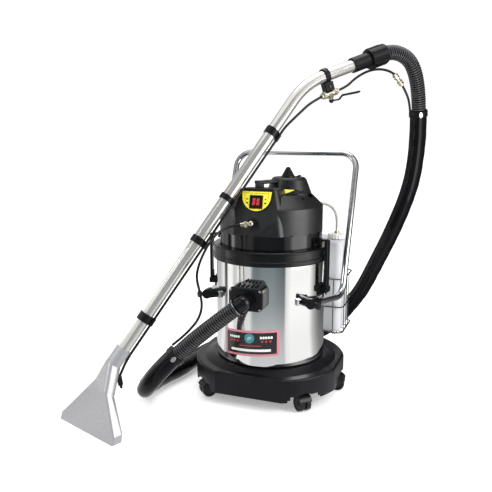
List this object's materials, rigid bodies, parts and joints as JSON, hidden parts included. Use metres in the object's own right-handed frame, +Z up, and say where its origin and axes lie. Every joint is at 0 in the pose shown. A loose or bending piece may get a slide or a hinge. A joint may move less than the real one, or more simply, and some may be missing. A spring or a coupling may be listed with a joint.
{
  "type": "wet extraction carpet cleaner",
  "caption": "Wet-extraction carpet cleaner: steel tank on a castor dolly, vacuum head with switches, wire basket with solution container, push handle, hose and spray wand.",
  "frame": {"origin": "middle of the footprint (free hoses and lines left out), on the floor under the wheels", "axes": "+X to the right of an operator facing the control panel, -Y towards the front with the panel and hose inlet, +Z up"},
  "size_m": [0.9922, 1.0477, 1.1604],
  "materials": {
    "deck_black": "fine moulded texture",
    "steel_tank": "polished",
    "matte_black": "fine moulded texture",
    "gloss_black": "gloss",
    "seal_rubber": "matt",
    "inner_plastic": "moulded",
    "rotor_metal": "as cast",
    "pump_grey": "satin",
    "ball_white": "smooth",
    "panel_yellow": "printed film",
    "bezel_black": "moulded",
    "switch_red": "gloss",
    "grip_grey": "moulded",
    "brass": "machined",
    "hose_black": "semi-gloss corrugated",
    "latch_black": "satin",
    "chrome_tube": "polished",
    "matte_black_clamp": "moulded",
    "chrome_wire": "polished",
    "milky_plastic": "translucent, blow-moulded",
    "cap_white": "moulded",
    "lever_black": "satin",
    "line_black": "satin",
    "floor_head_alu": "satin",
    "sleeve_black": "smooth",
    "castor_grey": "moulded",
    "wheel_grey": "moulded"
  },
  "bodies": {
    "machine": {"base_dolly": "deck_black", "tank_shell": "steel_tank", "rim_ring": "matte_black", "head_seal": "seal_rubber", "head_band": "gloss_black", "head_shell": "matte_black", "motor_plate": "inner_plastic", "motor_housing": "inner_plastic", "solution_pump": "pump_grey", "float_cage": "inner_plastic", "control_panel": "panel_yellow", "switch_bezel": "bezel_black", "cone_cap": "bezel_black", "carry_handle": "grip_grey", "supply_outlet": "brass", "mains_gland": "bezel_black", "inlet_box": "gloss_black", "inlet_collar": "hose_black", "inlet_deflector": "inner_plastic", "latch_brackets": "bezel_black", "push_handle": "chrome_tube", "handle_clamps": "matte_black_clamp", "wire_basket": "chrome_wire", "solution_container": "milky_plastic", "container_cap": "cap_white", "suction_fittings": "brass", "wand_lower_tube": "chrome_tube", "wand_upper_tube": "chrome_tube", "wand_bands": "matte_black_clamp", "wand_cuff": "hose_black", "valve_clamp": "matte_black_clamp", "valve_body": "brass", "wand_line": "line_black", "floor_head": "floor_head_alu", "floor_jet": "matte_black_clamp", "vacuum_hose": "hose_black", "hose_sleeve": "sleeve_black", "hose_straps": "sleeve_black", "supply_line": "line_black", "return_line": "line_black", "line_coupler": "brass", "feed_line": "line_black", "suction_hose": "milky_plastic"},
    "vacuum_switch": {"vacuum_switch": "switch_red"},
    "pump_switch": {"pump_switch": "switch_red"},
    "latch_right": {"latch_right": "latch_black"},
    "latch_left": {"latch_left": "latch_black"},
    "valve_lever": {"valve_lever": "lever_black"},
    "float_ball": {"float_ball": "ball_white"},
    "motor_rotor": {"motor_rotor": "rotor_metal"},
    "castor_1": {"castor_fork_1": "castor_grey"},
    "wheels_1": {"castor_wheels_1": "wheel_grey"},
    "castor_2": {"castor_fork_2": "castor_grey"},
    "wheels_2": {"castor_wheels_2": "wheel_grey"},
    "castor_3": {"castor_fork_3": "castor_grey"},
    "wheels_3": {"castor_wheels_3": "wheel_grey"},
    "castor_4": {"castor_fork_4": "castor_grey"},
    "wheels_4": {"castor_wheels_4": "wheel_grey"},
    "castor_5": {"castor_fork_5": "castor_grey"},
    "wheels_5": {"castor_wheels_5": "wheel_grey"}
  },
  "joints": [
    {"name": "castor_swivel_1", "type": "hinge", "parent": "machine", "child": "castor_1", "pos_m": [0.23827, -0.0527, 0.062], "axis": [0, 0, 1], "continuous": true},
    {"name": "wheel_spin_1", "type": "hinge", "parent": "castor_1", "child": "wheels_1", "pos_m": [0.25494, -0.06996, 0.025], "axis": [0.7193, 0.6947, 0], "continuous": true},
    {"name": "castor_swivel_2", "type": "hinge", "parent": "machine", "child": "castor_2", "pos_m": [-0.05627, -0.0527, 0.062], "axis": [0, 0, 1], "continuous": true},
    {"name": "wheel_spin_2", "type": "hinge", "parent": "castor_2", "child": "wheels_2", "pos_m": [-0.07294, -0.06996, 0.025], "axis": [0.7193, -0.6947, 0], "continuous": true},
    {"name": "castor_swivel_3", "type": "hinge", "parent": "machine", "child": "castor_3", "pos_m": [0.30094, 0.1293, 0.062], "axis": [0, 0, 1], "continuous": true},
    {"name": "wheel_spin_3", "type": "hinge", "parent": "castor_3", "child": "wheels_3", "pos_m": [0.3247, 0.13264, 0.025], "axis": [-0.1392, 0.9903, 0], "continuous": true},
    {"name": "castor_swivel_4", "type": "hinge", "parent": "machine", "child": "castor_4", "pos_m": [-0.11894, 0.1293, 0.062], "axis": [0, 0, 1], "continuous": true},
    {"name": "wheel_spin_4", "type": "hinge", "parent": "castor_4", "child": "wheels_4", "pos_m": [-0.1427, 0.13264, 0.025], "axis": [-0.1392, -0.9903, 0], "continuous": true},
    {"name": "castor_swivel_5", "type": "hinge", "parent": "machine", "child": "castor_5", "pos_m": [0.091, 0.3118, 0.062], "axis": [0, 0, 1], "continuous": true},
    {"name": "wheel_spin_5", "type": "hinge", "parent": "castor_5", "child": "wheels_5", "pos_m": [0.091, 0.3358, 0.025], "axis": [-1, 0, 0], "continuous": true},
    {"name": "latch_right_pivot", "type": "hinge", "parent": "machine", "child": "latch_right", "pos_m": [0.29289, 0.0642, 0.368], "axis": [0.1736, 0.9848, 0], "range_deg": [0, 75]},
    {"name": "latch_left_pivot", "type": "hinge", "parent": "machine", "child": "latch_left", "pos_m": [-0.11089, 0.0642, 0.368], "axis": [0.1736, -0.9848, 0], "range_deg": [0, 75]},
    {"name": "vacuum_switch_rock", "type": "hinge", "parent": "machine", "child": "vacuum_switch", "pos_m": [0.082, -0.04895, 0.65807], "axis": [1, 0, 0], "range_deg": [-12, 0]},
    {"name": "pump_switch_rock", "type": "hinge", "parent": "machine", "child": "pump_switch", "pos_m": [0.1, -0.04895, 0.65807], "axis": [1, 0, 0], "range_deg": [-12, 0]},
    {"name": "valve_turn", "type": "hinge", "parent": "machine", "child": "valve_lever", "pos_m": [0.26758, 0.17976, 0.97325], "axis": [-0.229, -0.2372, 0.9441], "range_deg": [0, 90]},
    {"name": "float_rise", "type": "slide", "parent": "machine", "child": "float_ball", "axis": [0, 0, 1], "range_m": [0, 0.02]},
    {"name": "rotor_spin", "type": "hinge", "parent": "machine", "child": "motor_rotor", "pos_m": [0.091, 0.0998, 0.6], "axis": [0, 0, 1], "continuous": true}
  ]
}
